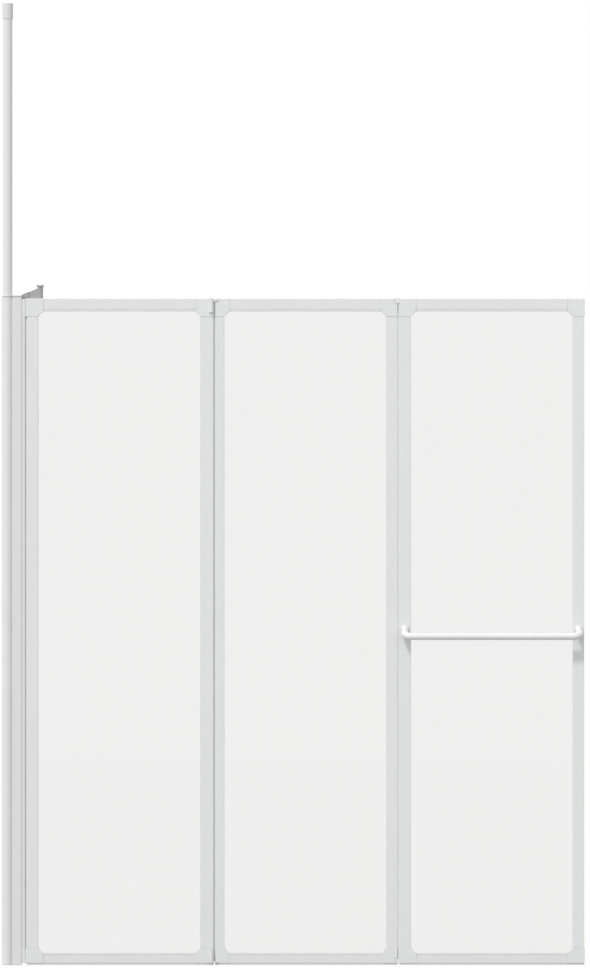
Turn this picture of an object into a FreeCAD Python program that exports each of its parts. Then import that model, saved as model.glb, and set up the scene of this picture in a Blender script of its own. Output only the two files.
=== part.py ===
import FreeCAD, Part
import math
import os

# A folding bath screen: three framed glass panels hinged edge to edge on a post,
# a telescopic pole clamped between bath rim and ceiling, and a towel rail on the
# last panel. Millimetres. Z is up, X runs along the straight screen, -Y faces the
# room and +Y the bath. The origin is on the pole's axis, on the bath rim.

V = FreeCAD.Vector

# Panel frames and glass
panel_top = 1400.0
bottom_seal_height = 4.0
rim_clearance = 0.4
sight_width = 341.0
panel_gap = 4.0
frame_depth = 20.0
stile_width = 23.4
barrel_stile_width = 27.2
leaf_stile_width = 18.6
top_rail_width = 26.2
bottom_rail_width = 20.9
profile_wall = 1.4
edge_radius = 1.2
pane_thickness = 4.0
pane_bite = 8.0
gasket_wall = 2.0
gasket_base = 1.5
gasket_lip = 0.6
gasket_bead = 0.9
gasket_bead_crest = 0.6
gasket_bead_height = 7.7
gasket_fit = 0.1
bead_groove_width = 1.6
bead_groove_depth = 0.7
bead_groove_inset = 2.4

# Corner mouldings
corner_reach = 11.4
corner_chamfer = 10.4
corner_radius = 3.0
corner_proud_front = 0.5
corner_proud_side = 0.9
post_side_overhang = 3.4
spigot_length = 20.0
spigot_clearance = 0.15
seam = 0.3
tongue_length = 5.4
tongue_height = 10.0
tongue_depth = 5.5
tongue_clearance = 0.5

# Hinges
back_hinge_offset = 4.5
back_eye_radius = 5.5
front_hinge_offset = 1.5
front_barrel_radius = 4.2
front_barrel_height = 24.0
front_ear_height = 3.0
front_ear_reach = 16.0
front_strap_front = 1.8
front_strap_back = 0.7
pin_radius = 2.5
pin_head_radius = 3.8
running_fit = 0.08
fixed_fit = 0.02
knuckle_height = 9.2
knuckle_play = 0.4
knuckle_inset = 1.5
pocket_clearance = 0.4
arm_half_thickness = 3.6
arm_reach = 12.0
arm_root = 1.0

# Post and telescopic pole
post_depth = 20.0
post_channel_end = 29.0
post_end = 36.8
post_wall = 1.6
post_step = 9.6
post_step_depth = 2.8
post_top = 1401.6
post_cap_thickness = 5.1
cap_neck_height = 3.2
cap_neck_inset = 1.4
outer_tube_radius = 12.25
outer_tube_wall = 1.3
inner_tube_radius = 10.0
inner_tube_wall = 1.3
inner_tube_bottom = 1150.0
bush_length = 25.0
sliding_clearance = 0.1
rim_pad_height = 3.0
foot_plate_height = 5.0
foot_spigot_length = 25.0
hinge_profile_clearance = 0.2
hinge_profile_start = 15.0
hinge_block_drop = 0.6
pole_top = 2020.8
ceiling_foot_height = 32.8
ceiling_foot_radius = 11.2
ceiling_foot_crown = 10.8
glider_height = 10.0
spring_length = 330.0
spring_mean_radius = 7.6
spring_wire_radius = 0.9
spring_turns = 18
spring_steps_per_turn = 8
spring_arc_tolerance = 0.2
spring_wire_sides = 5
spring_peg_radius = 5.9
spring_peg_height = 14.0
spring_seat_height = 10.0

# Top hinge arm of panel 1 and its flanged bolt
arm_eye_radius = 10.4
arm_eye_seat = 5.0
arm_toe_height = 6.7
arm_crest_height = 23.4
arm_width = 9.0
arm_boss_radius = 5.7
arm_boss_height = 25.0
arm_bolt_inset = 4.4
arm_bolt_y = 3.0
arm_bolt_radius = 2.5
arm_bolt_depth = 13.5
arm_flange_radius = 7.7
arm_flange_height = 3.6

# Towel rail
rail_radius = 7.5
rail_projection = 32.0
rail_foot_z = 705.6
rail_drop = 14.4
rail_splay = 2.2
rail_bend_radius = 14.0
rail_bore_depth = 9.0
flange_radius = 9.0
flange_thickness = 3.0
flange_taper = 1.4
flange_fit = 0.1

# Fasteners and vertical seals
screw_radius = 1.7
screw_length = 8.0
screw_head_radius = 3.2
screw_head_height = 1.8
screw_head_taper = 1.2
rail_screw_radius = 2.0
rail_screw_head_radius = 3.8
seal_depth = 5.0
seal_clearance = 0.5
deep_seal_y = -2.5
face_seal_y = -6.1
bottom_seal_depth = 18.4
bottom_seal_wall = 1.6
post_screw_heights = (250.0, 700.0, 1150.0)

# Values that follow from the sizes above
frame_bottom = bottom_seal_height
half_depth = frame_depth / 2
corner_half_depth = half_depth + corner_proud_front
channel_width = pane_thickness + 2 * gasket_wall
channel_depth = pane_bite + gasket_base
tube_bore_radius = outer_tube_radius - outer_tube_wall
top_leg = top_rail_width + corner_reach
bottom_leg = bottom_rail_width + corner_reach
stile_bottom = frame_bottom + bottom_leg + seam
stile_top = panel_top - top_leg - seam
tongue_end = tongue_height + tongue_clearance
back_axis_y = half_depth + back_hinge_offset
front_axis_y = -half_depth - front_hinge_offset
cut_margin = 1.0


def layout_panel(left, stile_left, stile_right):
    """A panel's outer edges and stile widths, laid out from its left edge."""
    right = left + stile_left + sight_width + stile_right
    return {"left": left, "right": right, "stile_left": stile_left, "stile_right": stile_right}


panel_1 = layout_panel(post_end + panel_gap, stile_width, barrel_stile_width)
panel_2 = layout_panel(panel_1["right"] + panel_gap, leaf_stile_width, stile_width)
panel_3 = layout_panel(panel_2["right"] + panel_gap, stile_width, stile_width)
panels = {"panel1": panel_1, "panel2": panel_2, "panel3": panel_3}

post_axis = (post_end + panel_gap / 2, back_axis_y)
front_axis = (panel_1["right"] - front_barrel_radius, front_axis_y)
back_axis = (panel_2["right"] + panel_gap / 2, back_axis_y)
arm_bolt_spot = (panel_1["left"] + stile_width + arm_bolt_inset, arm_bolt_y)


def box(x0, x1, y0, y1, z0, z1):
    """A box between two corners, whichever way round they are given."""
    low = V(min(x0, x1), min(y0, y1), min(z0, z1))
    return Part.makeBox(abs(x1 - x0), abs(y1 - y0), abs(z1 - z0), low)


def upright(axis, radius, z0, z1):
    """A vertical cylinder on an (x, y) axis."""
    return Part.makeCylinder(radius, z1 - z0, V(axis[0], axis[1], z0))


def cross_pin(x, z, radius, y0, y1):
    """A cylinder that runs from y0 to y1, front to back."""
    return Part.makeCylinder(radius, y1 - y0, V(x, y0, z), V(0, 1, 0))


def bend(before, corner, after, radius):
    """Start, middle and end of the tangent arc that rounds a corner of a route."""
    back = (before - corner).normalize()
    ahead = (after - corner).normalize()
    half_angle = back.getAngle(ahead) / 2
    cut = radius / math.tan(half_angle)
    middle = corner + (back + ahead).normalize() * (radius / math.sin(half_angle) - radius)
    return corner + back * cut, middle, corner + ahead * cut


def outline(corners, place):
    """A closed wire through (u, v, radius) corners, each rounded by a tangent arc.

    place turns a flat (u, v) into a point of the model."""
    flat = [V(u, v, 0) for u, v, radius in corners]
    radii = [radius for u, v, radius in corners]
    ahead = flat[1:] + flat[:1]
    arcs = [bend(flat[i - 1], flat[i], ahead[i], radii[i]) for i in range(len(flat))]
    edges = []
    for i, (start, middle, end) in enumerate(arcs):
        if radii[i] > 0:
            points = [place(p.x, p.y) for p in (start, middle, end)]
            edges.append(Part.Arc(*points).toShape())
        following = arcs[(i + 1) % len(arcs)][0]
        edges.append(Part.LineSegment(place(end.x, end.y), place(following.x, following.y)).toShape())
    return Part.Wire(edges)


def prism(wires, travel):
    """The face inside the first wire, less the other wires, carried along travel."""
    return Part.makeFace(wires, "Part::FaceMakerBullseye").extrude(travel)


def rectangle(u0, u1, v0, v1):
    """Corners of a plain rectangle for outline."""
    return [(u0, v0, 0), (u1, v0, 0), (u1, v1, 0), (u0, v1, 0)]


def frame_x(panel, left, across):
    """The x that lies across millimetres inside the panel's left or right edge."""
    return panel["left"] + across if left else panel["right"] - across


def frame_z(top, along):
    """The z that lies along millimetres inside the frame's top or bottom edge."""
    return panel_top - along if top else frame_bottom + along


def side_stile(panel, left):
    """The width of a panel's left or right stile."""
    return panel["stile_left"] if left else panel["stile_right"]


def edge_rail(top):
    """The width of a panel's top or bottom rail."""
    return top_rail_width if top else bottom_rail_width


def frame_profile(width, grooved, place):
    """Wires of a frame extrusion: outer edge at u = 0, glazing channel at u = width.

    A main chamber takes the corner spigots, a small chamber lightens each channel
    lip, and the rails have a bead groove beside the glass."""
    half_channel = channel_width / 2
    lip_start = width - channel_depth
    groove_end = width - bead_groove_inset
    groove_start = groove_end - bead_groove_width
    near = [(0, -half_depth, edge_radius)]
    far = [(0, half_depth, edge_radius)]
    if grooved:
        floor = half_depth - bead_groove_depth
        near += [(groove_start, -half_depth, 0), (groove_start, -floor, 0)]
        near += [(groove_end, -floor, 0), (groove_end, -half_depth, 0)]
        far = [(groove_end, half_depth, 0), (groove_end, floor, 0)]
        far += [(groove_start, floor, 0), (groove_start, half_depth, 0)]
        far += [(0, half_depth, edge_radius)]
    lips = [(width, -half_depth, edge_radius / 2), (width, -half_channel, 0)]
    lips += [(lip_start, -half_channel, 0), (lip_start, half_channel, 0)]
    lips += [(width, half_channel, 0), (width, half_depth, edge_radius / 2)]
    inner = half_depth - profile_wall
    main = rectangle(profile_wall, lip_start - profile_wall, -inner, inner)
    front = rectangle(lip_start, width - profile_wall, -inner, -half_channel - profile_wall)
    rear = rectangle(lip_start, width - profile_wall, half_channel + profile_wall, inner)
    return [outline(shape, place) for shape in (near + lips + far, main, front, rear)]


def chamber_middle(width):
    """Where the main chamber of a profile of this width has its middle."""
    return (width - channel_depth) / 2


def corner_screw_spots(panel):
    """(x, z) of the four screws that hold the corners' upright spigots in the stiles."""
    spots = []
    for top in (True, False):
        spot_z = frame_z(top, edge_rail(top) + corner_reach + spigot_length / 2)
        for left in (True, False):
            spots.append((frame_x(panel, left, chamber_middle(side_stile(panel, left))), spot_z))
    return spots


def drill(shape, spots, radius, y0, y1):
    """Holes front to back at the (x, z) spots."""
    for x, z in spots:
        shape = shape.cut(cross_pin(x, z, radius, y0, y1))
    return shape


def towel_rail_spots():
    """(x, z) of the towel rail's two feet, on the middles of panel 3's stiles."""
    inset = stile_width / 2
    return [(panel_3["left"] + inset, rail_foot_z), (panel_3["right"] - inset, rail_foot_z)]


def make_stile(panel, left):
    """A hollow upright between two corner mouldings."""
    width = side_stile(panel, left)

    def place(u, v):
        return V(frame_x(panel, left, u), v, stile_bottom)

    stile = prism(frame_profile(width, False, place), V(0, 0, stile_top - stile_bottom))
    mouth = half_depth - profile_wall - cut_margin
    hole = screw_radius + running_fit
    stile = drill(stile, corner_screw_spots(panel), hole, mouth, half_depth + cut_margin)
    if panel is panel_3:
        hole = rail_screw_radius + running_fit
        stile = drill(stile, towel_rail_spots(), hole, -half_depth - cut_margin, half_depth + cut_margin)
    return stile


def make_rail(panel, top):
    """A hollow cross rail between two corner mouldings, with its bead groove."""
    x0 = panel["left"] + panel["stile_left"] + corner_reach + seam
    x1 = panel["right"] - panel["stile_right"] - corner_reach - seam

    def place(u, v):
        return V(x0, v, frame_z(top, u))

    return prism(frame_profile(edge_rail(top), True, place), V(x1 - x0, 0, 0))


def pane_edges(panel):
    """x0, x1, z0, z1 of a panel's glass, which reaches into the channels."""
    x0 = panel["left"] + panel["stile_left"] - pane_bite
    x1 = panel["right"] - panel["stile_right"] + pane_bite
    z0 = frame_bottom + bottom_rail_width - pane_bite
    z1 = panel_top - top_rail_width + pane_bite
    return x0, x1, z0, z1


def make_pane(panel):
    """Toughened glass, held all round."""
    x0, x1, z0, z1 = pane_edges(panel)
    return box(x0, x1, -pane_thickness / 2, pane_thickness / 2, z0, z1)


def opening_wire(panel, inset, y):
    """A wire round a panel's opening, inset evenly from the frame and its chamfered corners."""
    x0 = panel["left"] + panel["stile_left"] + inset
    x1 = panel["right"] - panel["stile_right"] - inset
    z0 = frame_bottom + bottom_rail_width + inset
    z1 = panel_top - top_rail_width - inset
    leg = corner_chamfer - inset * (2 - math.sqrt(2))
    corners = [(x0 + leg, z0, 0), (x1 - leg, z0, 0), (x1, z0 + leg, 0), (x1, z1 - leg, 0),
               (x1 - leg, z1, 0), (x0 + leg, z1, 0), (x0, z1 - leg, 0), (x0, z0 + leg, 0)]
    return outline(corners, lambda u, v: V(u, y, v))


def make_bead(panel, side):
    """The flat bead of a gasket on one face of the glass: side is -1 at the front."""
    foot = side * pane_thickness / 2
    crest = foot + side * gasket_bead_height
    slab = prism([opening_wire(panel, gasket_fit, foot)], V(0, crest - foot, 0))
    hollow = [opening_wire(panel, gasket_bead, foot), opening_wire(panel, gasket_bead_crest, crest)]
    return slab.cut(Part.makeLoft(hollow, True, True))


def make_gasket(panel):
    """A channel gasket round the glass, with a bead up to the frame on either face."""
    x0, x1, z0, z1 = pane_edges(panel)
    half_width = channel_width / 2
    inside = pane_bite + gasket_lip
    ring = box(x0 - gasket_base, x1 + gasket_base, -half_width, half_width,
               z0 - gasket_base, z1 + gasket_base)
    window = box(x0 + inside, x1 - inside, -half_depth, half_depth, z0 + inside, z1 - inside)
    ring = ring.cut(window).cut(make_pane(panel))
    return ring.fuse(make_bead(panel, -1)).fuse(make_bead(panel, 1))


def make_bottom_seal(panel):
    """A two-lipped wiper under the whole width of a panel."""
    half_width = bottom_seal_depth / 2
    lip = half_width - bottom_seal_wall
    strip = box(panel["left"], panel["right"], -half_width, half_width, rim_clearance, frame_bottom)
    hollow_top = frame_bottom - bottom_seal_wall
    return strip.cut(box(panel["left"] - cut_margin, panel["right"] + cut_margin, -lip, lip, 0, hollow_top))


def make_screw(x, z, radius, length, head_radius):
    """A screw with a tapered pan head, driven in from the back face of a frame."""
    shank = cross_pin(x, z, radius, half_depth - length, half_depth)
    head = Part.makeCone(head_radius, head_radius - screw_head_taper, screw_head_height,
                         V(x, half_depth, z), V(0, 1, 0))
    return head.fuse(shank)


def make_corner_screws(panel):
    """The four screws that hold a panel's corners in its stiles."""
    screws = []
    for x, z in corner_screw_spots(panel):
        screws.append(make_screw(x, z, screw_radius, screw_length, screw_head_radius))
    return Part.makeCompound(screws)


def level(top, start, height):
    """(z0, z1) of a stretch that starts so far inside the frame's top or bottom edge."""
    outer = frame_z(top, start)
    inner = frame_z(top, start + height)
    return min(outer, inner), max(outer, inner)


def knuckle_levels(top):
    """(z0, z1) of the three knuckles of a back hinge, from the outer end inwards."""
    step = knuckle_height + knuckle_play
    return [level(top, knuckle_inset + i * step, knuckle_height) for i in range(3)]


def front_levels(top):
    """(z0, z1) of the front hinge's ear on panel 2, and of panel 1's barrel inside it."""
    barrel_start = knuckle_inset + front_ear_height + knuckle_play
    return [level(top, knuckle_inset, front_ear_height), level(top, barrel_start, front_barrel_height)]


def outer_levels(top):
    """(z0, z1) of the first and third knuckle, which hold the pin."""
    levels = knuckle_levels(top)
    return [levels[0], levels[2]]


def middle_level(top):
    """(z0, z1) of the second knuckle, which turns on the pin."""
    return [knuckle_levels(top)[1]]


def clear_pockets(shape, axis, radius, levels):
    """Room in a piece for the neighbour's knuckles to turn."""
    for z0, z1 in levels:
        shape = shape.cut(upright(axis, radius + pocket_clearance, z0 - knuckle_play, z1 + knuckle_play))
    return shape


def add_knuckles(shape, axis, radius, levels, arm, fit):
    """Hinge eyes on a piece, each with an arm of plan outline arm, bored for the pin."""
    for z0, z1 in levels:
        wire = outline(arm, lambda u, v, base=z0: V(u, v, base))
        shape = shape.fuse(upright(axis, radius, z0, z1)).fuse(prism([wire], V(0, 0, z1 - z0)))
        shape = shape.cut(upright(axis, pin_radius + fit, z0 - cut_margin, z1 + cut_margin))
    return shape.removeSplitter()


def back_arm_outline(axis, side):
    """Plan of an arm from a back axis along a corner: side is +1 for right, -1 for left."""
    end_x = axis[0] + side * arm_reach
    tip_y = axis[1] + arm_half_thickness
    root_y = corner_half_depth - arm_root
    slope = arm_half_thickness
    return [(axis[0], root_y, 0), (end_x, root_y, 0), (end_x, tip_y - slope, 0),
            (end_x - side * slope, tip_y, 0), (axis[0], tip_y, 0)]


def front_barrel_neck():
    """Plan of the neck from the front barrel back into panel 1's corner."""
    return rectangle(front_axis[0] - front_barrel_radius, front_axis[0] + front_barrel_radius,
                     front_axis[1], -half_depth + edge_radius)


def front_ear_outline():
    """Plan of panel 2's ear, from the front axis across the gap to its corner's face."""
    root_x = panel_2["left"] + arm_root
    root_y = -corner_half_depth + arm_root
    end_x = front_axis[0] + front_ear_reach
    near = front_axis[1] - front_strap_front
    far = front_axis[1] + front_strap_back
    slope = arm_half_thickness
    return [(front_axis[0], far, 0), (root_x, far, 0), (root_x, root_y, 0), (end_x, root_y, 0),
            (end_x, -corner_half_depth, 0), (end_x - slope, near, 0), (front_axis[0], near, 0)]


def corner_overhang(panel, left):
    """How far a corner stands out beyond its stile: at the post and at the free edge."""
    if panel is panel_1 and left:
        return post_side_overhang
    if panel is panel_3 and not left:
        return corner_proud_side
    return 0


def make_corner_block(panel, top, left):
    """The moulded body of a corner: an L with a chamfered inside and two spigots."""
    stile = side_stile(panel, left)
    rail = edge_rail(top)
    overhang = corner_overhang(panel, left)

    def place(u, v):
        return V(frame_x(panel, left, u), -corner_half_depth, frame_z(top, v))

    legs = [(-overhang, 0, corner_radius), (stile + corner_reach, 0, 0),
            (stile + corner_reach, rail, 0), (stile + corner_chamfer, rail, 0),
            (stile, rail + corner_chamfer, 0), (stile, rail + corner_reach, 0),
            (-overhang, rail + corner_reach, 0)]
    block = prism([outline(legs, place)], V(0, 2 * corner_half_depth, 0))
    side_x = frame_x(panel, left, -overhang)
    edge_z = frame_z(top, 0)
    near = corner_radius / 2
    rim = []
    for edge in block.Edges:
        spot = edge.CenterOfMass
        on_face = abs(abs(spot.y) - corner_half_depth) < seam
        on_rim = abs(spot.x - side_x) < near or abs(spot.z - edge_z) < near
        if on_face and on_rim:
            rim.append(edge)
    block = block.makeFillet(edge_radius, rim)
    far = corner_reach + cut_margin
    half_channel = channel_width / 2
    block = block.cut(box(frame_x(panel, left, stile - channel_depth), frame_x(panel, left, stile + far),
                          -half_channel, half_channel,
                          frame_z(top, rail - channel_depth), frame_z(top, rail + far)))
    gap = profile_wall + spigot_clearance
    inner = half_depth - gap
    block = block.fuse(box(frame_x(panel, left, gap), frame_x(panel, left, stile - channel_depth - gap),
                           -inner, inner, frame_z(top, rail + corner_reach - cut_margin),
                           frame_z(top, rail + corner_reach + spigot_length)))
    block = block.fuse(box(frame_x(panel, left, stile + corner_reach - cut_margin),
                           frame_x(panel, left, stile + corner_reach + spigot_length),
                           -inner, inner, frame_z(top, gap), frame_z(top, rail - channel_depth - gap)))
    pilot_end = half_depth - screw_length
    return drill(block, corner_screw_spots(panel), screw_radius + fixed_fit, pilot_end, half_depth)


def tongue_space(top, clearance):
    """The step at the front of the panel 2 to 3 joint, in which a tongue bridges the gap."""
    depth = -corner_half_depth + tongue_depth + clearance
    return box(panel_2["right"] - tongue_length - clearance, panel_3["left"] + cut_margin,
               -corner_half_depth - clearance, depth,
               frame_z(top, -clearance), frame_z(top, tongue_height + clearance))


def make_corner(panel, top, left):
    """A corner moulding with the hinge features of its place in the screen."""
    block = make_corner_block(panel, top, left)
    outer = outer_levels(top)
    middle = middle_level(top)
    ear, barrel = front_levels(top)
    if panel is panel_1 and left:
        block = clear_pockets(block, post_axis, back_eye_radius, outer)
        arm = back_arm_outline(post_axis, 1)
        block = add_knuckles(block, post_axis, back_eye_radius, middle, arm, running_fit)
        if top:
            block = block.cut(upright(arm_bolt_spot, arm_bolt_radius + fixed_fit,
                                      panel_top - arm_bolt_depth, panel_top + cut_margin))
    elif panel is panel_1:
        ear_room = level(top, -cut_margin, cut_margin + knuckle_inset + front_ear_height)
        block = clear_pockets(block, front_axis, front_barrel_radius, [ear_room])
        block = add_knuckles(block, front_axis, front_barrel_radius, [barrel], front_barrel_neck(), fixed_fit)
    elif panel is panel_2 and left:
        block = add_knuckles(block, front_axis, front_barrel_radius, [ear], front_ear_outline(), running_fit)
    elif panel is panel_2:
        block = block.cut(tongue_space(top, tongue_clearance))
        block = clear_pockets(block, back_axis, back_eye_radius, middle)
        arm = back_arm_outline(back_axis, -1)
        block = add_knuckles(block, back_axis, back_eye_radius, outer, arm, fixed_fit)
    elif left:
        block = block.fuse(tongue_space(top, 0))
        block = clear_pockets(block, back_axis, back_eye_radius, outer)
        arm = back_arm_outline(back_axis, 1)
        block = add_knuckles(block, back_axis, back_eye_radius, middle, arm, running_fit)
    return block


def make_hinge_pin(axis, top, levels):
    """A headed pin through the eyes at these levels, its head at the outer end."""
    z0 = min(low for low, high in levels)
    z1 = max(high for low, high in levels)
    shank = upright(axis, pin_radius, z0, z1)
    if top:
        return shank.fuse(upright(axis, pin_head_radius, z1, z1 + knuckle_inset))
    return shank.fuse(upright(axis, pin_head_radius, z0 - knuckle_inset, z0))


def make_post_pins():
    """The post's two hinge pins. The upper one also carries the hinge arm's eye."""
    levels = knuckle_levels(True)
    z0 = min(low for low, high in levels)
    z1 = panel_top + arm_eye_seat + knuckle_play
    upper = upright(post_axis, pin_radius, z0, z1)
    upper = upper.fuse(upright(post_axis, pin_head_radius, z1, z1 + knuckle_inset))
    return Part.makeCompound([upper, make_hinge_pin(post_axis, False, knuckle_levels(False))])


def make_hinge_pins(axis, find_levels):
    """The upper and lower pin on one axis between two panels."""
    return Part.makeCompound([make_hinge_pin(axis, top, find_levels(top)) for top in (True, False)])


def make_vertical_seal(panel, middle_y, z0, z1):
    """A D-section sealing strip on a panel's left edge, which closes the gap beside it."""
    half = seal_depth / 2
    base_low = V(panel["left"], middle_y - half, z0)
    base_high = V(panel["left"], middle_y + half, z0)
    crown = V(panel["left"] - panel_gap + seal_clearance, middle_y, z0)
    curve = Part.Arc(base_low, crown, base_high).toShape()
    flat = Part.LineSegment(base_high, base_low).toShape()
    return prism([Part.Wire([curve, flat])], V(0, 0, z1 - z0))


def post_plan(margin, z0, z1):
    """The post's plan, tube and channel with a step beside the tube, shrunk by margin."""
    tube = upright((0, 0), outer_tube_radius - margin, z0, z1)
    half = post_depth / 2 - margin
    end = post_channel_end - margin
    web = box(0, end, post_step_depth - half, half, z0, z1)
    return tube.fuse(web).fuse(box(post_step + margin, end, -half, half, z0, z1)).removeSplitter()


def channel_half():
    """Half the inside width of the post's channel."""
    return post_depth / 2 - post_wall


def post_screw_spots():
    """(x, z) of the screws that fix the hinge profile in the post's channel."""
    middle = (hinge_profile_start + post_channel_end) / 2
    return [(middle, z) for z in post_screw_heights]


def make_post_profile():
    """The post extrusion: a round tube with a channel for the hinge profile beside it."""
    bottom = rim_pad_height + foot_plate_height
    post = post_plan(0, bottom, post_top)
    post = post.cut(upright((0, 0), tube_bore_radius, bottom - cut_margin, post_top + cut_margin))
    half = channel_half()
    start = hinge_profile_start - hinge_profile_clearance
    post = post.cut(box(start, post_channel_end + cut_margin, -half, half,
                        bottom - cut_margin, post_top + cut_margin))
    return drill(post, post_screw_spots(), screw_radius + running_fit, 0, half_depth + cut_margin)


def hinge_profile_half():
    """Half the outside depth of the hinge profile."""
    return channel_half() - hinge_profile_clearance


def make_hinge_profile():
    """The hollow profile that slides in the post's channel and faces panel 1."""
    half = hinge_profile_half()

    def place(u, v):
        return V(u, v, stile_bottom)

    skin = [(hinge_profile_start, -half, 0), (post_end, -half, edge_radius / 2),
            (post_end, half, edge_radius / 2), (hinge_profile_start, half, 0)]
    core = rectangle(hinge_profile_start + profile_wall, post_end - profile_wall,
                     -half + profile_wall, half - profile_wall)
    wires = [outline(skin, place), outline(core, place)]
    profile = prism(wires, V(0, 0, stile_top - stile_bottom))
    return drill(profile, post_screw_spots(), screw_radius + fixed_fit, 0, half_depth)


def make_hinge_block(top):
    """The moulded end of the hinge profile, with the eyes that hold the post's pins."""
    half = hinge_profile_half()
    outer = panel_top - hinge_block_drop if top else frame_bottom
    inner = stile_top + seam if top else stile_bottom - seam
    end = stile_top - spigot_length if top else stile_bottom + spigot_length
    block = box(hinge_profile_start, post_end, -half, half, outer, inner)
    foot_top = rim_pad_height + foot_plate_height
    block = block.cut(box(0, post_channel_end + seam, -half_depth, half_depth, 0, foot_top))
    gap = profile_wall + spigot_clearance
    block = block.fuse(box(hinge_profile_start + gap, post_end - gap, -half + gap, half - gap, inner, end))
    block = clear_pockets(block, post_axis, back_eye_radius, middle_level(top))
    arm_start = post_channel_end + cut_margin
    tip_y = back_axis_y + arm_half_thickness
    arm = [(arm_start, half - arm_root, 0), (post_end, half - arm_root, 0),
           (post_end, back_axis_y - back_eye_radius + arm_root, 0),
           (post_axis[0], back_axis_y - back_eye_radius + arm_root, 0),
           (post_axis[0], tip_y, 0), (arm_start, tip_y - arm_half_thickness, 0)]
    return add_knuckles(block, post_axis, back_eye_radius, outer_levels(top), arm, fixed_fit)


def make_post_screws():
    """The screws through the post's back wall into the hinge profile."""
    screws = []
    for x, z in post_screw_spots():
        screws.append(make_screw(x, z, screw_radius, screw_length, screw_head_radius))
    return Part.makeCompound(screws)


def make_post_cap():
    """The cap on the post, on a drawn-in neck, with the bush in which the inner tube slides."""
    neck_top = post_top + cap_neck_height
    cap = post_plan(0, neck_top, post_top + post_cap_thickness)
    cap = cap.fuse(post_plan(cap_neck_inset, post_top, neck_top))
    cap = cap.fuse(upright((0, 0), tube_bore_radius - sliding_clearance, post_top - bush_length, post_top))
    guide = inner_tube_radius + sliding_clearance
    low = post_top - bush_length - cut_margin
    return cap.cut(upright((0, 0), guide, low, post_top + post_cap_thickness + cut_margin))


def make_post_foot():
    """The plate under the post, with a plug up into its tube."""
    top = rim_pad_height + foot_plate_height
    plug = upright((0, 0), tube_bore_radius - sliding_clearance, top, top + foot_spigot_length)
    rim = [edge for edge in plug.Edges if edge.BoundBox.ZMin > top + foot_spigot_length / 2]
    return post_plan(0, rim_pad_height, top).fuse(plug.makeChamfer(edge_radius, rim))


def make_rim_pad():
    """The rubber pad on which the post stands on the bath rim."""
    return post_plan(sliding_clearance, 0, rim_pad_height)


def make_inner_tube():
    """The tube that telescopes out of the post up to the ceiling."""
    top = pole_top - ceiling_foot_crown
    tube = upright((0, 0), inner_tube_radius, inner_tube_bottom, top)
    return tube.cut(upright((0, 0), inner_tube_radius - inner_tube_wall,
                            inner_tube_bottom - cut_margin, top + cut_margin))


def make_glider():
    """The plug in the inner tube's lower end, which runs in the post's bore on the spring."""
    bottom = inner_tube_bottom - glider_height
    disc = upright((0, 0), tube_bore_radius - 2 * sliding_clearance, bottom, inner_tube_bottom)
    plug = upright((0, 0), inner_tube_radius - inner_tube_wall - fixed_fit,
                   inner_tube_bottom, inner_tube_bottom + foot_spigot_length)
    peg = upright((0, 0), spring_peg_radius, bottom - spring_peg_height, bottom)
    return disc.fuse(plug).fuse(peg)


def make_ceiling_foot():
    """The soft cap over the inner tube's top, pressed against the ceiling."""
    bottom = pole_top - ceiling_foot_height
    foot = upright((0, 0), ceiling_foot_radius, bottom, pole_top)
    rim = [edge for edge in foot.Edges if edge.BoundBox.ZMin > pole_top - cut_margin]
    foot = foot.makeFillet(edge_radius, rim)
    socket_top = pole_top - ceiling_foot_crown
    return foot.cut(upright((0, 0), inner_tube_radius + fixed_fit, bottom - cut_margin, socket_top))


def spring_ends():
    """Bottom and top of the spring, between its seat and the glider."""
    top = inner_tube_bottom - glider_height
    return top - spring_length, top


def make_spring_seat():
    """The plug pressed into the post's bore, on which the spring stands."""
    top = spring_ends()[0]
    disc = upright((0, 0), tube_bore_radius - fixed_fit, top - spring_seat_height, top)
    return disc.fuse(upright((0, 0), spring_peg_radius, top, top + spring_peg_height))


def make_spring():
    """The compression spring: a five-sided wire wound on a helix from seat to glider."""
    z0, z1 = spring_ends()
    rise = z1 - z0 - 2 * spring_wire_radius
    steps = spring_turns * spring_steps_per_turn
    points = []
    for i in range(steps + 1):
        angle = 2 * math.pi * i / spring_steps_per_turn
        z = z0 + spring_wire_radius + rise * i / steps
        points.append(V(spring_mean_radius * math.cos(angle), spring_mean_radius * math.sin(angle), z))
    curve = Part.BSplineCurve()
    curve.interpolate(points)
    path = Part.Wire([arc.toShape() for arc in curve.toBiArcs(spring_arc_tolerance)])
    start = path.OrderedEdges[0]
    heading = start.tangentAt(start.FirstParameter)
    outward = points[0] - V(0, 0, points[0].z)
    upward = heading.cross(outward).normalize()
    sideways = upward.cross(heading)
    ring = []
    for i in range(spring_wire_sides + 1):
        angle = 2 * math.pi * i / spring_wire_sides
        around = sideways * math.cos(angle) + upward * math.sin(angle)
        ring.append(points[0] + around * spring_wire_radius)
    print("spring: gap between turns", round(rise / spring_turns - 2 * spring_wire_radius, 2), "mm")
    return path.makePipeShell([Part.makePolygon(ring)], True, False)


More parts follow.
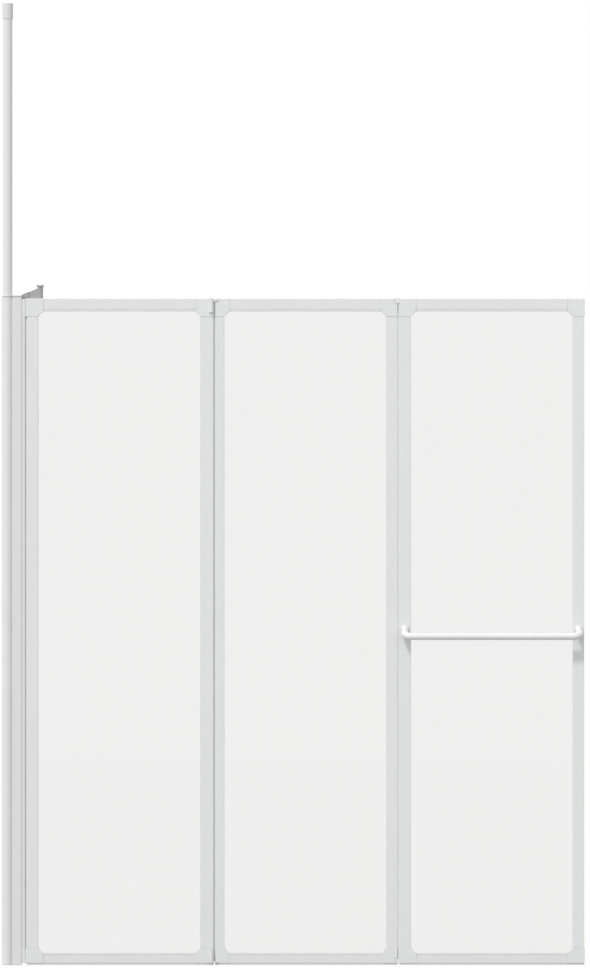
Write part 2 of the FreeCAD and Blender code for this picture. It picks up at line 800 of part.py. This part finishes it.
def make_hinge_arm():
    """Panel 1's upper hinge arm: an eye on the post pin, a rising web and a bolt boss."""
    run = V(arm_bolt_spot[0] - post_axis[0], arm_bolt_spot[1] - post_axis[1], 0)
    length = run.Length
    turn = math.degrees(math.atan2(run.y, run.x))
    low = panel_top
    half = arm_width / 2

    def place(u, v):
        return V(u, -half, low + v)

    slope = (arm_crest_height - arm_toe_height) / (length + arm_eye_radius)

    def crest(u):
        return arm_toe_height + slope * (u + arm_eye_radius)

    web = [(0, 0, 0), (length, 0, 0), (length, crest(length), 0), (0, crest(0), 0)]
    arm = prism([outline(web, place)], V(0, arm_width, 0))
    eye = upright((0, 0), arm_eye_radius, low, low + crest(arm_eye_radius))
    span = 2 * arm_eye_radius
    above = [(-span, crest(-span), 0), (span, crest(span), 0),
             (span, 2 * arm_boss_height, 0), (-span, 2 * arm_boss_height, 0)]

    def place_wide(u, v):
        return V(u, -arm_eye_radius - cut_margin, low + v)

    eye = eye.cut(prism([outline(above, place_wide)], V(0, 2 * arm_eye_radius + 2 * cut_margin, 0)))
    boss = upright((length, 0), arm_boss_radius, low, low + arm_boss_height)
    arm = arm.fuse(eye).fuse(boss)
    high = low + arm_boss_height + cut_margin
    arm = arm.cut(upright((0, 0), pin_head_radius + pocket_clearance, low + arm_eye_seat, high))
    arm = arm.cut(upright((0, 0), pin_radius + running_fit, low - cut_margin, high))
    arm = arm.cut(upright((length, 0), arm_bolt_radius + fixed_fit, low - cut_margin, high))
    arm = arm.removeSplitter()
    arm.rotate(V(0, 0, 0), V(0, 0, 1), turn)
    arm.translate(V(post_axis[0], post_axis[1], 0))
    return arm


def make_hinge_arm_bolt():
    """The flanged bolt that holds the hinge arm down on panel 1's corner."""
    seat = panel_top + arm_boss_height
    shank = upright(arm_bolt_spot, arm_bolt_radius, panel_top - arm_bolt_depth, seat)
    flange = upright(arm_bolt_spot, arm_flange_radius, seat, seat + arm_flange_height)
    rim = [edge for edge in flange.Edges if edge.BoundBox.ZMin > seat + arm_flange_height / 2]
    return flange.makeFillet(arm_flange_height / 3, rim).fuse(shank)


def towel_rail_path():
    """The four route points of the towel rail: foot, bend, bend, foot."""
    (x0, z), (x1, z) = towel_rail_spots()
    y0 = -half_depth
    y1 = y0 - rail_projection
    bar_z = z - rail_drop
    return [V(x0, y0, z), V(x0 - rail_splay, y1, bar_z), V(x1 + rail_splay, y1, bar_z), V(x1, y0, z)]


def make_towel_rail():
    """A round bar bent at both ends, drilled for the screws that come through the stiles."""
    foot_0, bend_0, bend_1, foot_1 = towel_rail_path()
    first = bend(foot_0, bend_0, bend_1, rail_bend_radius)
    second = bend(bend_0, bend_1, foot_1, rail_bend_radius)
    lead_0 = foot_0 + (foot_0 - bend_0).normalize() * rail_radius
    lead_1 = foot_1 + (foot_1 - bend_1).normalize() * rail_radius
    edges = [Part.LineSegment(lead_0, first[0]).toShape(), Part.Arc(*first).toShape(),
             Part.LineSegment(first[2], second[0]).toShape(), Part.Arc(*second).toShape(),
             Part.LineSegment(second[2], lead_1).toShape()]
    section = Part.Wire([Part.makeCircle(rail_radius, lead_0, first[0] - lead_0)])
    bar = Part.Wire(edges).makePipeShell([section], True, False)
    span = 2 * rail_radius
    trim = box(foot_0.x - span, foot_1.x + span, -half_depth, half_depth,
               foot_0.z - span, foot_0.z + 2 * span)
    bar = bar.cut(trim)
    hole = rail_screw_radius + fixed_fit
    return drill(bar, towel_rail_spots(), hole, -half_depth - rail_bore_depth, -half_depth + cut_margin)


def make_rail_flanges():
    """The two tapered rosettes round the rail's feet."""
    foot_0, bend_0, bend_1, foot_1 = towel_rail_path()
    flanges = []
    for foot, corner in ((foot_0, bend_0), (foot_1, bend_1)):
        seat = V(foot.x, -half_depth, foot.z)
        disc = Part.makeCone(flange_radius, flange_radius - flange_taper, flange_thickness, seat, V(0, -1, 0))
        reach = (corner - foot).normalize()
        back = foot - reach * 2 * rail_radius
        leg = Part.makeCylinder(rail_radius + flange_fit, 4 * rail_radius, back, reach)
        flanges.append(disc.cut(leg))
    return Part.makeCompound(flanges)


def make_rail_screws():
    """The screws that hold the towel rail, through panel 3's stiles from behind."""
    screws = []
    length = frame_depth + rail_bore_depth - cut_margin
    for x, z in towel_rail_spots():
        screws.append(make_screw(x, z, rail_screw_radius, length, rail_screw_head_radius))
    return Part.makeCompound(screws)


nodes = {
    "post_profile": make_post_profile(),
    "hinge_profile": make_hinge_profile(),
    "hinge_blocks": Part.makeCompound([make_hinge_block(True), make_hinge_block(False)]),
    "hinge_pins_post": make_post_pins(),
    "post_screws": make_post_screws(),
    "post_cap": make_post_cap(),
    "post_foot": make_post_foot(),
    "rim_pad": make_rim_pad(),
    "spring_seat": make_spring_seat(),
    "tension_spring": make_spring(),
    "inner_tube": make_inner_tube(),
    "inner_tube_glider": make_glider(),
    "ceiling_foot": make_ceiling_foot(),
    "hinge_arm": make_hinge_arm(),
    "hinge_arm_bolt": make_hinge_arm_bolt(),
    "hinge_pins_front": make_hinge_pins(front_axis, front_levels),
    "hinge_pins_back": make_hinge_pins(back_axis, knuckle_levels),
    "seal_post": make_vertical_seal(panel_1, deep_seal_y, stile_bottom, stile_top),
    "seal_front": make_vertical_seal(panel_2, deep_seal_y, frame_bottom, panel_top),
    "seal_back": make_vertical_seal(panel_3, face_seal_y, frame_z(False, tongue_end),
                                    frame_z(True, tongue_end)),
    "towel_rail": make_towel_rail(),
    "rail_flanges": make_rail_flanges(),
    "rail_screws": make_rail_screws(),
}

for name, panel in panels.items():
    nodes[name + "_pane"] = make_pane(panel)
    nodes[name + "_gasket"] = make_gasket(panel)
    nodes[name + "_bottom_seal"] = make_bottom_seal(panel)
    nodes[name + "_corner_screws"] = make_corner_screws(panel)
    for left, side in ((True, "left"), (False, "right")):
        nodes[name + "_stile_" + side] = make_stile(panel, left)
        for top, end in ((True, "top"), (False, "bottom")):
            nodes[name + "_corner_" + end + "_" + side] = make_corner(panel, top, left)
    for top, end in ((True, "top"), (False, "bottom")):
        nodes[name + "_rail_" + end] = make_rail(panel, top)

os.makedirs("parts", exist_ok=True)
for name, shape in nodes.items():
    shape.exportStep("parts/" + name + ".step")
    state = "valid" if shape.isValid() else "not valid"
    print(name, len(shape.Solids), "solid", round(shape.Volume), "mm3", state)
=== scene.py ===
import math
import bpy
import numpy as np
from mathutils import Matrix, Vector


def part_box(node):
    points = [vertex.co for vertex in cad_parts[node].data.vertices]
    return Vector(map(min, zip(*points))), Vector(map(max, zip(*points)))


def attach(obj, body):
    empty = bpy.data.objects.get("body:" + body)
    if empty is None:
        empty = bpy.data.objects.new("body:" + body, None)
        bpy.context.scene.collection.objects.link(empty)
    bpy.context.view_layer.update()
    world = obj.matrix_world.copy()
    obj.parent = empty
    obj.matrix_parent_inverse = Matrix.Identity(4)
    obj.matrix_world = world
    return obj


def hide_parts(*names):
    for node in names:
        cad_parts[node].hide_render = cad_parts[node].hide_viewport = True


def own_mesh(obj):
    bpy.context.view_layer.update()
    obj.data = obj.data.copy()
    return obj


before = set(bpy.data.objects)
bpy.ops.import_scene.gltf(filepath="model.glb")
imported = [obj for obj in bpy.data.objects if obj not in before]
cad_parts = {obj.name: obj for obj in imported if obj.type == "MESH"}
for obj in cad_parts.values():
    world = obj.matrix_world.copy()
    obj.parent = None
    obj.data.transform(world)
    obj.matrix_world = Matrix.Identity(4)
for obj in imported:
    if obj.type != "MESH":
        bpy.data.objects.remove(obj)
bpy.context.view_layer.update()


# Post and hinge profile
# The post is an aluminium extrusion, a round tube with a channel beside it, and the hollow
# hinge profile slides in that channel. Both are sawn to length and powder coated white.

class Wire:
    """A socket of a material, so that shader maths reads as an expression."""

    def __init__(self, tree, socket=None):
        self.tree = tree
        self.socket = socket

    def node(self, kind, settings=None, sockets=None, output=0):
        """Adds any node: its settings first, then the values or links of its sockets."""
        made = self.tree.nodes.new(kind)
        for name, value in (settings or {}).items():
            setattr(made, name, value)
        for key, value in (sockets or {}).items():
            if isinstance(value, Wire):
                self.tree.links.new(value.socket, made.inputs[key])
            else:
                made.inputs[key].default_value = value
        return Wire(self.tree, made.outputs[output]) if len(made.outputs) else None

    def math(self, operation, first, second):
        """Adds one Math node on two numbers or wires."""
        return self.node("ShaderNodeMath", {"operation": operation}, {0: first, 1: second})

    def __add__(self, other):
        return self.math("ADD", self, other)

    def __radd__(self, other):
        return self.math("ADD", other, self)

    def __sub__(self, other):
        return self.math("SUBTRACT", self, other)

    def __rsub__(self, other):
        return self.math("SUBTRACT", other, self)

    def __mul__(self, other):
        return self.math("MULTIPLY", self, other)

    def __rmul__(self, other):
        return self.math("MULTIPLY", other, self)

    def __or__(self, other):
        return self.math("MAXIMUM", self, other)


def start_material(name):
    """An empty material, given as the wire that its nodes are added through."""
    material = bpy.data.materials.new(name)
    material.use_nodes = True
    material.node_tree.nodes.clear()
    return material, Wire(material.node_tree)


def noise(base, scale, detail=2.0):
    """Smooth noise from 0 to 1 on Object coordinates, with one scale per metre or one for each axis."""
    scales = (scale,) * 3 if isinstance(scale, float) else scale
    place = base.node("ShaderNodeTexCoord", output="Object")
    spread = base.node("ShaderNodeVectorMath", {"operation": "MULTIPLY"}, {0: place, 1: scales})
    return base.node("ShaderNodeTexNoise", {}, {"Vector": spread, "Scale": 1.0, "Detail": detail})


def between(base, share, low, high):
    """The colour that lies a share of the way from low to high, each plain numbers or a wire. Sockets 6 and
    7 of a Mix node are its colours, and its output 2 is the mixed colour."""
    ends = [end if isinstance(end, Wire) else (*end, 1.0) for end in (low, high)]
    return base.node("ShaderNodeMix", {"data_type": "RGBA"}, {0: share, 6: ends[0], 7: ends[1]}, output=2)


def shade(colour, factor):
    """A colour made lighter or darker by a factor."""
    return tuple(channel * factor for channel in colour)


def bumps(base, height, depth):
    """A surface relief of that depth in metres, where height runs from 0 to 1."""
    return base.node("ShaderNodeBump", {}, {"Strength": 1.0, "Distance": depth, "Height": height},
                     output="Normal")


def close_material(base, sockets):
    """Ends a material with one Principled shader that has these sockets."""
    skin = base.node("ShaderNodeBsdfPrincipled", {}, sockets)
    base.node("ShaderNodeOutputMaterial", {}, {"Surface": skin})


def powder_coat(name, colour, lengthwise):
    """Satin powder coat: orange peel over faint die lines that run lengthwise (0 is X, 2 is Z)."""
    material, base = start_material(name)
    lines_across, lines_along = 1400.0, 3.0
    smoothest, peel_depth = 0.36, 0.00006
    line_scales = [lines_across] * 3
    line_scales[lengthwise] = lines_along
    die_lines = noise(base, line_scales)
    cloud = noise(base, (22.0, 22.0, 9.0), detail=3.0)
    peel = noise(base, 620.0, detail=1.0)
    share = 0.6 * cloud + 0.4 * die_lines
    close_material(base, {
        "Base Color": between(base, share, shade(colour, 0.975), shade(colour, 1.025)),
        "Roughness": smoothest + 0.10 * peel + 0.06 * die_lines,
        "Normal": bumps(base, 0.8 * peel + 0.2 * die_lines, peel_depth),
    })
    return material


def dress(material, *nodes):
    """Puts a finish on CAD nodes."""
    for name in nodes:
        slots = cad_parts[name].data.materials
        slots.clear()
        slots.append(material)


post_white = (0.735, 0.742, 0.740)
dress(powder_coat("post_coat", post_white, lengthwise=2), "post_profile", "hinge_profile")


# Telescopic pole
# A thinner aluminium tube that slides out of the post. It is polished and enamelled, so
# that it runs in the bush, and is a little glossier than the extrusions.

def enamel(name, colour, roughness, coat):
    """Smooth stoved enamel: a faint flow-out and a clear gloss over it."""
    material, base = start_material(name)
    relief_depth = 0.00004
    flow = noise(base, (85.0, 85.0, 30.0))
    specks = noise(base, 900.0, detail=1.0)
    close_material(base, {
        "Base Color": between(base, flow, shade(colour, 0.985), shade(colour, 1.015)),
        "Roughness": roughness - 0.03 + 0.06 * specks,
        "Coat Weight": coat - 0.1 + 0.2 * flow,
        "Coat Roughness": 0.12,
        "Normal": bumps(base, 0.7 * flow + 0.3 * specks, relief_depth),
    })
    return material


dress(enamel("pole_enamel", post_white, roughness=0.30, coat=0.2), "inner_tube")


# Cap, foot, hinge blocks and corners
# White injection mouldings with a fine spark-eroded grain. The corners plug into the profiles with spigots,
# and carry the hinge eyes where two panels meet. The cap's drawn-in neck is darkened with painted shade.

def height_band(base, low, high):
    """1 between two heights on Object coordinates, and 0 below and above them."""
    place = base.node("ShaderNodeTexCoord", output="Object")
    height = base.node("ShaderNodeSeparateXYZ", {}, {0: place}, output="Z")
    return base.math("GREATER_THAN", height, low) * base.math("LESS_THAN", height, high)


def moulded_plastic(name, colour, roughness, neck=None):
    """Moulded plastic: fine grain, slight flow clouds and a dull sheen. A neck is a band of painted shade,
    darker than the rest, given as its lowest and highest z and its share of the colour."""
    material, base = start_material(name)
    grain_depth = 0.00005
    grain = noise(base, 2100.0)
    cloud = noise(base, 60.0)
    skin = between(base, cloud, shade(colour, 0.98), shade(colour, 1.02))
    # The neck band is painted shade: a darker colour standing in for the shadow in a recessed neck.
    if neck:
        skin = between(base, height_band(base, *neck[:2]), skin, shade(colour, neck[2]))
    close_material(base, {
        "Base Color": skin,
        "Roughness": roughness - 0.06 + 0.12 * grain,
        "Normal": bumps(base, grain, grain_depth),
    })
    return material


moulding_white = (0.766, 0.781, 0.776)
moulding_roughness = 0.42
panels = ("panel1", "panel2", "panel3")
corners = [panel + "_corner_" + end + "_" + side
           for panel in panels for end in ("top", "bottom") for side in ("left", "right")]
moulding = moulded_plastic("moulding", moulding_white, moulding_roughness)
dress(moulding, "post_foot", "hinge_blocks", *corners)
post_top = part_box("post_profile")[1][2]
# The cap's neck gets painted shade. Its colour is darkened to stand for the shadow under the cap's
# overhanging rim.
neck_height = 0.0032
neck_shade_share = 0.80
cap_neck_shade = (post_top, post_top + neck_height, neck_shade_share)
dress(moulded_plastic("cap_moulding", moulding_white, moulding_roughness, cap_neck_shade), "post_cap")
inner_white = (0.62, 0.62, 0.60)
dress(moulded_plastic("inner_moulding", inner_white, roughness=0.5), "spring_seat", "inner_tube_glider")


# Panel stiles and rails
# Hollow aluminium extrusions with a glazing channel, sawn square between the corners and
# powder coated. The rails have a bead groove beside the glass.

stiles = [panel + "_stile_" + side for panel in panels for side in ("left", "right")]
rails = [panel + "_rail_" + end for panel in panels for end in ("top", "bottom")]
frame_white = (0.764, 0.781, 0.775)
dress(powder_coat("stile_coat", frame_white, lengthwise=2), *stiles)
dress(powder_coat("rail_coat", frame_white, lengthwise=0), *rails)


# Glass panes
# Clear toughened safety glass, 4 mm thick and float flat, held all round in the gaskets.
# A faint wipe haze is all that shows on it, and lamps shine straight through it.

def clear_glass(name, tint):
    """Glass for sight and gloss, and a plain tinted film for the light that falls through it."""
    material, base = start_material(name)
    haze = noise(base, (7.0, 7.0, 4.0), detail=3.0)
    glass = base.node("ShaderNodeBsdfPrincipled", {}, {
        "Base Color": between(base, haze, shade(tint, 0.995), shade(tint, 1.005)),
        "Roughness": 0.012 * haze,
        "Transmission Weight": 1.0,
        "IOR": 1.5,
    })
    film = base.node("ShaderNodeBsdfTransparent", {}, {"Color": (*tint, 1.0)})
    shadow = base.node("ShaderNodeLightPath", output="Is Shadow Ray")
    diffuse = base.node("ShaderNodeLightPath", output="Is Diffuse Ray")
    skin = base.node("ShaderNodeMixShader", {}, {0: shadow | diffuse, 1: glass, 2: film})
    base.node("ShaderNodeOutputMaterial", {}, {"Surface": skin})
    return material


pane_tint = (0.86, 0.86, 0.852)
dress(clear_glass("safety_glass", pane_tint), *[panel + "_pane" for panel in panels])


# Gaskets, seals and feet
# Extruded and moulded rubbers: glossy white channel gaskets round the glass, grey wipers under
# the panels and in the gaps, and soft white pads where the pole meets rim and ceiling.

def soft_rubber(name, colour, roughness=0.65):
    """Rubber with a fine bloom and extrusion flow, matt unless it is given less roughness."""
    material, base = start_material(name)
    bloom_depth = 0.00008
    bloom = noise(base, 300.0, detail=3.0)
    flow = noise(base, 40.0)
    share = 0.5 * bloom + 0.5 * flow
    close_material(base, {
        "Base Color": between(base, share, shade(colour, 0.96), shade(colour, 1.04)),
        "Roughness": roughness - 0.05 + 0.1 * bloom,
        "Normal": bumps(base, bloom, bloom_depth * roughness),
    })
    return material


gasket_white = (0.88, 0.885, 0.88)
gasket_roughness = 0.06
wiper_grey = (0.72, 0.735, 0.73)
gap_grey = (0.76, 0.77, 0.765)
foot_white = (0.70, 0.70, 0.697)
dress(soft_rubber("gasket_rubber", gasket_white, gasket_roughness), *[panel + "_gasket" for panel in panels])
dress(soft_rubber("wiper_rubber", wiper_grey), *[panel + "_bottom_seal" for panel in panels])
dress(soft_rubber("gap_rubber", gap_grey), "seal_post", "seal_front", "seal_back")
dress(soft_rubber("foot_rubber", foot_white), "ceiling_foot", "rim_pad")


# Hinge arm and its bolt
# A grey glass-filled moulding above panel 1's corner, with an eye on the post's hinge pin, held
# down by a dull plated flange bolt.

arm_grey = (0.36, 0.36, 0.36)
dress(moulded_plastic("arm_moulding", arm_grey, roughness=0.5), "hinge_arm")


def plated_steel(name, colour, roughness):
    """Zinc-plated steel: a fine spangle in colour and sheen."""
    material, base = start_material(name)
    brush_depth = 0.00002
    spangle = noise(base, 260.0, detail=4.0)
    brush = noise(base, 1800.0)
    close_material(base, {
        "Base Color": between(base, spangle, shade(colour, 0.9), shade(colour, 1.1)),
        "Metallic": 1.0,
        "Roughness": roughness - 0.06 + 0.12 * spangle + 0.04 * brush,
        "Normal": bumps(base, brush, brush_depth),
    })
    return material


bolt_grey = (0.40, 0.40, 0.40)
dress(plated_steel("bolt_plating", bolt_grey, roughness=0.5), "hinge_arm_bolt")


# Towel rail and rosettes
# A round aluminium bar bent at both ends, in a glossy white enamel, with two thin moulded rosettes
# round its feet. Screws through the stiles hold it from behind.

rail_white = (0.82, 0.82, 0.82)
dress(enamel("rail_enamel", rail_white, roughness=0.30, coat=0.4), "towel_rail")
dress(moulding, "rail_flanges")


# Hinge pins
# Headed steel pins, turned and zinc plated. They are pressed into one panel's hinge eyes and
# turn in the other's.

bright_zinc = (0.62, 0.63, 0.64)
steel = plated_steel("bright_plating", bright_zinc, roughness=0.28)
dress(steel, "hinge_pins_post", "hinge_pins_front", "hinge_pins_back")


# Screws
# Self-tapping steel screws with pan heads and cross recesses, driven in from the back. They hold
# the corners' spigots, the hinge profile in the post, and the towel rail.

def closed_tube_faces(rings, sides):
    """Faces of rings joined into a tube that a point closes at each end, all facing outwards: an array of
    four-sided ones between the rings, and an array of three-sided ones at the two points."""
    ring = np.arange(rings - 1)[:, None] * sides
    here = np.arange(sides)[None, :]
    beside = (here + 1) % sides
    quads = np.stack([ring + here, ring + beside, ring + sides + beside, ring + sides + here], -1) + 1
    last = 1 + (rings - 1) * sides
    ends = np.arange(sides)
    after = (ends + 1) % sides
    low = np.stack([np.zeros_like(ends), 1 + after, 1 + ends], -1)
    high = np.stack([np.full_like(ends, last + sides), last + ends, last + after], -1)
    return quads.reshape(-1, 4), np.concatenate([low, high])


def place_piece(name, points, faces, material, body, node):
    """A mesh that stands for a CAD node. Points hold one or more copies of a shape, and each copy gets the
    faces, their corners moved on by one copy's points. Edges past the sharp angle stay sharp."""
    sharp_angle = math.radians(40.0)
    copies, size = points.shape[:2]
    moved_on = np.arange(copies)[:, None, None] * size
    quads, ends = [(moved_on + kind).reshape(-1, kind.shape[1]).tolist() for kind in faces]
    mesh = bpy.data.meshes.new(name)
    mesh.from_pydata(points.reshape(-1, 3).tolist(), [], quads + ends)
    mesh.shade_smooth()
    mesh.set_sharp_from_angle(angle=sharp_angle)
    mesh.materials.append(material)
    piece = bpy.data.objects.new(name, mesh)
    bpy.context.scene.collection.objects.link(piece)
    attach(piece, body)
    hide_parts(node)
    return piece


def screw_points(radius, length, head_radius):
    """A screw along Y, its seat at 0: a tapped shank whose radius rises and falls along a helix, then a
    domed head, from whose top two crossed slots are sunk, deepest in the middle."""
    pitch, thread_depth, point_length = 0.0014, 0.00035, 0.002
    head_height, rim_share = 0.0018, 0.75
    slot_half, slot_reach = 0.2 * head_radius, 0.62 * head_radius
    slot_wall, slot_end = 0.00015, 0.0005
    slot_depth, slot_rise = 0.0013, 0.0005
    sides, rings_per_turn, rim_rings, dome_rings = 48, 7, 10, 30
    shank_rings = int(length / pitch * rings_per_turn)
    shank = np.linspace(-length, 0.0, shank_rings)
    taper = np.clip((shank + length) / point_length, 0.05, 1.0)
    rim = np.linspace(0.0, rim_share * head_height, rim_rings)
    dome = np.linspace(1.0, 0.06, dome_rings)
    top = head_height * (rim_share + (1.0 - rim_share) * np.sqrt(1.0 - dome ** 2))
    along = np.concatenate([shank, rim, top])
    core = np.concatenate([radius * taper, np.full(rim_rings, head_radius), head_radius * dome])
    threaded = np.concatenate([taper, np.zeros(rim_rings + dome_rings)])
    on_top = np.concatenate([np.zeros(shank_rings + rim_rings), np.ones(dome_rings)])
    turn = np.arange(sides) * 2 * np.pi / sides
    wave = np.abs((along[:, None] / pitch - turn / (2 * np.pi)) % 1.0 - 0.5) * 2.0
    reach = core[:, None] - thread_depth * threaded[:, None] * wave
    across, up = reach * np.cos(turn), reach * np.sin(turn)
    from_cross = np.minimum(np.abs(across), np.abs(up))
    in_slot = np.clip((slot_half - from_cross) / slot_wall, 0.0, 1.0)
    in_reach = np.clip((slot_reach - reach) / slot_end, 0.0, 1.0)
    sunk = in_slot * in_reach * (slot_depth - slot_rise * reach / head_radius)
    deep = along[:, None] - sunk * on_top[:, None]
    rings = np.stack([across, deep, up], -1)[:, ::-1, :]
    tip, pit = np.array([[0.0, -length, 0.0]]), np.array([[0.0, deep[-1].min(), 0.0]])
    return np.concatenate([tip, rings.reshape(-1, 3), pit]), rings.shape[0], sides


def drive_screws(node, body, screw, spots):
    """Screws of one node, as radius, length and head radius, with their seats as x and z."""
    points, rings, sides = screw_points(*screw)
    seats = np.array([(x, frame_back, z) for x, z in spots])
    faces = closed_tube_faces(rings, sides)
    place_piece(node + "_turned", seats[:, None, :] + points, faces, steel, body, node)


frame_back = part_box("panel1_stile_left")[1][1]
small_screw = (0.0017, 0.008, 0.0032)
small_head = small_screw[2]
for number, panel in enumerate(panels, 1):
    low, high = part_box(panel + "_corner_screws")
    corner_spots = [(x, z) for x in (low[0] + small_head, high[0] - small_head)
                    for z in (low[2] + small_head, high[2] - small_head)]
    drive_screws(panel + "_corner_screws", "panel_" + str(number), small_screw, corner_spots)
low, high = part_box("post_screws")
post_x = (low[0] + high[0]) / 2
post_levels = (low[2] + small_head, (low[2] + high[2]) / 2, high[2] - small_head)
drive_screws("post_screws", "post", small_screw, [(post_x, z) for z in post_levels])
low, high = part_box("rail_screws")
rail_shank, rail_head = 0.002, 0.0038
rail_screw = (rail_shank, frame_back - low[1], rail_head)
rail_z = (low[2] + high[2]) / 2
rail_spots = [(low[0] + rail_head, rail_z), (high[0] - rail_head, rail_z)]
drive_screws("rail_screws", "panel_3", rail_screw, rail_spots)


# Spring in the post
# A compression spring of round spring wire, whose end coils are closed. It stands on the seat in the
# tube and pushes the pole up against the ceiling.

def spring_points(low_z, high_z, coil, wire, turns):
    """Round wire along a helix whose pitch is tight in the first and last turn: at each step a circle
    across the path, on the radial direction and the binormal of a nearly level path."""
    steps_per_turn, sides = 40, 14
    closed_turns, closed_rise = 1.2, 2.4 * wire
    steps = turns * steps_per_turn
    part = np.linspace(0.0, 1.0, steps)
    free = high_z - low_z - 2 * wire
    closed, rise = closed_turns / turns, closed_rise / free
    share = np.interp(part, [0.0, closed, 1.0 - closed, 1.0], [0.0, rise, 1.0 - rise, 1.0])
    height = low_z + wire + free * share
    angle = 2 * np.pi * turns * part
    outward = np.stack([np.cos(angle), np.sin(angle), np.zeros(steps)], -1)
    round_wire = np.arange(sides) * 2 * np.pi / sides
    path = coil * outward + np.stack([np.zeros(steps), np.zeros(steps), height], -1)
    circle = wire * (np.cos(round_wire)[None, :, None] * outward[:, None, :]
                     - np.sin(round_wire)[None, :, None] * np.array([0.0, 0.0, 1.0]))
    rings = path[:, None, :] + circle
    return np.concatenate([path[:1], rings.reshape(-1, 3), path[-1:]]), steps, sides


coil_radius = 0.0076
wire_radius = 0.0009
spring_turns = 18
low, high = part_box("tension_spring")
points, steps, sides = spring_points(low[2], high[2], coil_radius, wire_radius, spring_turns)
spring = place_piece("tension_spring_wound", points[None], closed_tube_faces(steps, sides), steel, "post",
                     "tension_spring")
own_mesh(spring)


# Floor, light and camera
# The part stands on a pale floor that goes over into a white surround, under a soft key light from
# the upper left and a sky that is brightest near the horizon and to the left. The camera looks square
# at the middle of the front from far off.

def seen_directly(base):
    """1 for rays from the camera, mirrors and glass, and 0 for rays that gather light."""
    camera = base.node("ShaderNodeLightPath", output="Is Camera Ray")
    glossy = base.node("ShaderNodeLightPath", output="Is Glossy Ray")
    through = base.node("ShaderNodeLightPath", output="Is Transmission Ray")
    return camera | glossy | through


floor_half = 12.0
floor_level = -0.0003
floor_grey = (0.79, 0.79, 0.79, 1.0)
bounce_grey = (0.35, 0.35, 0.35, 1.0)
pure_white = (1.0, 1.0, 1.0, 1.0)
white_share = 0.93
floor_signs = ((-1, -1), (1, -1), (1, 1), (-1, 1))
floor_corners = [(floor_half * x, floor_half * y, floor_level) for x, y in floor_signs]
floor_mesh = bpy.data.meshes.new("floor")
floor_mesh.from_pydata(floor_corners, [], [(0, 1, 2, 3)])
floor = bpy.data.objects.new("floor", floor_mesh)
bpy.context.scene.collection.objects.link(floor)
floor_material, floor_base = start_material("floor_paint")
shaded = floor_base.node("ShaderNodeBsdfDiffuse", {}, {"Color": floor_grey})
white = floor_base.node("ShaderNodeEmission", {}, {"Color": pure_white, "Strength": 1.0})
bounce = floor_base.node("ShaderNodeBsdfDiffuse", {}, {"Color": bounce_grey})
pale = floor_base.node("ShaderNodeMixShader", {}, {0: white_share, 1: shaded, 2: white})
floor_skin = floor_base.node("ShaderNodeMixShader", {}, {0: seen_directly(floor_base), 1: bounce, 2: pale})
floor_base.node("ShaderNodeOutputMaterial", {}, {"Surface": floor_skin})
floor_mesh.materials.append(floor_material)

sky_below = 0.42
sky_level = 1.03
sky_zenith = 0.72
sky_lean = 0.36
dim_height = -0.6
bright_height = 0.1
world = bpy.data.worlds.new("studio")
bpy.context.scene.world = world
world.use_nodes = True
world.node_tree.nodes.clear()
sky = Wire(world.node_tree)
heading = sky.node("ShaderNodeTexCoord", output="Generated")
across = sky.node("ShaderNodeSeparateXYZ", {}, {0: heading}, output="X")
height = sky.node("ShaderNodeSeparateXYZ", {}, {0: heading}, output="Z")
rise = sky.node("ShaderNodeMapRange", {"interpolation_type": "SMOOTHSTEP"}, {
    "Value": height, "From Min": dim_height, "From Max": bright_height,
    "To Min": sky_below, "To Max": sky_level,
})
fall = sky.node("ShaderNodeMapRange", {"interpolation_type": "SMOOTHSTEP"}, {
    "Value": height, "From Min": bright_height, "From Max": 1.0,
    "To Min": 0.0, "To Max": sky_level - sky_zenith,
})
seen = seen_directly(sky)
strength = seen + (1 - seen) * (rise - fall - sky_lean * across)
glow = sky.node("ShaderNodeBackground", {}, {"Color": pure_white, "Strength": strength})
sky.node("ShaderNodeOutputWorld", {}, {"Surface": glow})

key_travel = Vector((0.018, 0.032, -0.043))
key_strength = 1.40
key_angle = math.radians(9.0)
key_lamp = bpy.data.lights.new("key", "SUN")
key_lamp.energy = key_strength
key_lamp.angle = key_angle
key = bpy.data.objects.new("key", key_lamp)
key.rotation_euler = key_travel.to_track_quat("-Z", "Y").to_euler()
bpy.context.scene.collection.objects.link(key)

picture_height = 968
metres_per_pixel = 0.0021
view_height = picture_height * metres_per_pixel
view_middle = Vector((0.6038, -0.0105, 1.0105))
view_distance = 16.0
sensor_size = 36.0
lens = bpy.data.cameras.new("camera")
lens.sensor_width = sensor_size
lens.lens = sensor_size * view_distance / view_height
camera = bpy.data.objects.new("camera", lens)
camera.location = view_middle + Vector((0.0, -view_distance, 0.0))
camera.rotation_euler = (math.pi / 2, 0.0, 0.0)
bpy.context.scene.collection.objects.link(camera)
bpy.context.scene.camera = camera
bpy.context.scene.view_settings.view_transform = "Standard"
